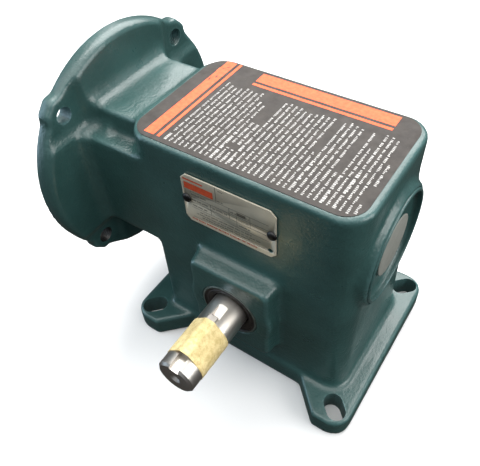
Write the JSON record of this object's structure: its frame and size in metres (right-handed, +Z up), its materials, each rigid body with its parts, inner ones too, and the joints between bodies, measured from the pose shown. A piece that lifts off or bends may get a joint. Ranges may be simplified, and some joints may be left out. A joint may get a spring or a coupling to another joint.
{
  "type": "worm gearbox",
  "caption": "Foot-mounted worm gear reducer with a round motor flange on the input side, a keyed output shaft and a hollow input.",
  "frame": {"origin": "centre of the four-slot foot pattern on the mounting face", "axes": "+Z up from the mounting face, -X out of the motor flange along the worm axis, -Y out along the output shaft"},
  "size_m": [0.2169, 0.199, 0.2045],
  "materials": {
    "cast_paint": "sand-cast iron under semi-gloss blue-green enamel",
    "shaft_steel": "ground and lightly stained steel",
    "key_steel": "plain mill-finish key steel",
    "masking_tape": "cream crepe paper tape",
    "rubber": "matt black nitrile",
    "bearing_steel": "ground bearing steel",
    "cage_steel": "pressed steel",
    "bronze": "machined gear bronze",
    "cast_iron": "bare machined cast iron",
    "gasket": "oiled fibre gasket",
    "bolt_steel": "black oxide steel",
    "plate": "etched aluminium with printed rules",
    "label": "printed vinyl label",
    "plug_paint": "pressed steel under the same enamel"
  },
  "bodies": {
    "housing": {"housing": "cast_paint", "output_cover": "cast_paint", "cover_gasket": "gasket", "cover_bolts": "bolt_steel", "output_seal": "rubber", "front_cup": "bearing_steel", "rear_cup": "bearing_steel", "input_outer_ring": "bearing_steel", "thrust_outer_ring": "bearing_steel", "input_seal": "rubber", "bore_retaining_ring": "bolt_steel", "end_plug": "plug_paint", "pipe_plugs": "bolt_steel", "nameplate": "plate", "nameplate_screws": "bolt_steel", "top_label": "label"},
    "output_shaft": {"output_shaft": "shaft_steel", "output_key": "key_steel", "key_tape": "masking_tape", "front_cone": "bearing_steel", "rear_cone": "bearing_steel", "gear_rim": "bronze", "gear_hub": "cast_iron", "gear_key": "key_steel", "gear_spacer": "shaft_steel"},
    "worm_shaft": {"worm_shaft": "shaft_steel", "input_inner_ring": "bearing_steel", "thrust_inner_ring": "bearing_steel", "quill_retaining_ring": "bolt_steel", "worm_retaining_ring": "bolt_steel"},
    "front_roller_set": {"front_rollers": "bearing_steel", "front_cage": "cage_steel"},
    "rear_roller_set": {"rear_rollers": "bearing_steel", "rear_cage": "cage_steel"},
    "input_ball_set": {"input_balls": "bearing_steel", "input_ball_cage": "bronze"},
    "thrust_ball_set": {"thrust_balls": "bearing_steel", "thrust_ball_cage": "bronze"}
  },
  "joints": [
    {"name": "worm_spin", "type": "hinge", "parent": "housing", "child": "worm_shaft", "pos_m": [0, 0, 0.122], "axis": [1, 0, 0], "continuous": true},
    {"name": "output_spin", "type": "hinge", "parent": "housing", "child": "output_shaft", "pos_m": [-0.0017, 0, 0.0712], "axis": [0, -1, 0], "continuous": true},
    {"name": "front_roller_orbit", "type": "hinge", "parent": "housing", "child": "front_roller_set", "pos_m": [-0.0017, 0, 0.0712], "axis": [0, -1, 0], "continuous": true},
    {"name": "rear_roller_orbit", "type": "hinge", "parent": "housing", "child": "rear_roller_set", "pos_m": [-0.0017, 0, 0.0712], "axis": [0, -1, 0], "continuous": true},
    {"name": "input_ball_orbit", "type": "hinge", "parent": "housing", "child": "input_ball_set", "pos_m": [0, 0, 0.122], "axis": [1, 0, 0], "continuous": true},
    {"name": "thrust_ball_orbit", "type": "hinge", "parent": "housing", "child": "thrust_ball_set", "pos_m": [0, 0, 0.122], "axis": [1, 0, 0], "continuous": true}
  ],
  "couplings": [
    {"joint": "output_spin", "follows": "worm_spin", "ratio": 0.033333},
    {"joint": "front_roller_orbit", "follows": "worm_spin", "ratio": 0.014012},
    {"joint": "rear_roller_orbit", "follows": "worm_spin", "ratio": 0.014012},
    {"joint": "input_ball_orbit", "follows": "worm_spin", "ratio": 0.39652},
    {"joint": "thrust_ball_orbit", "follows": "worm_spin", "ratio": 0.37941}
  ]
}
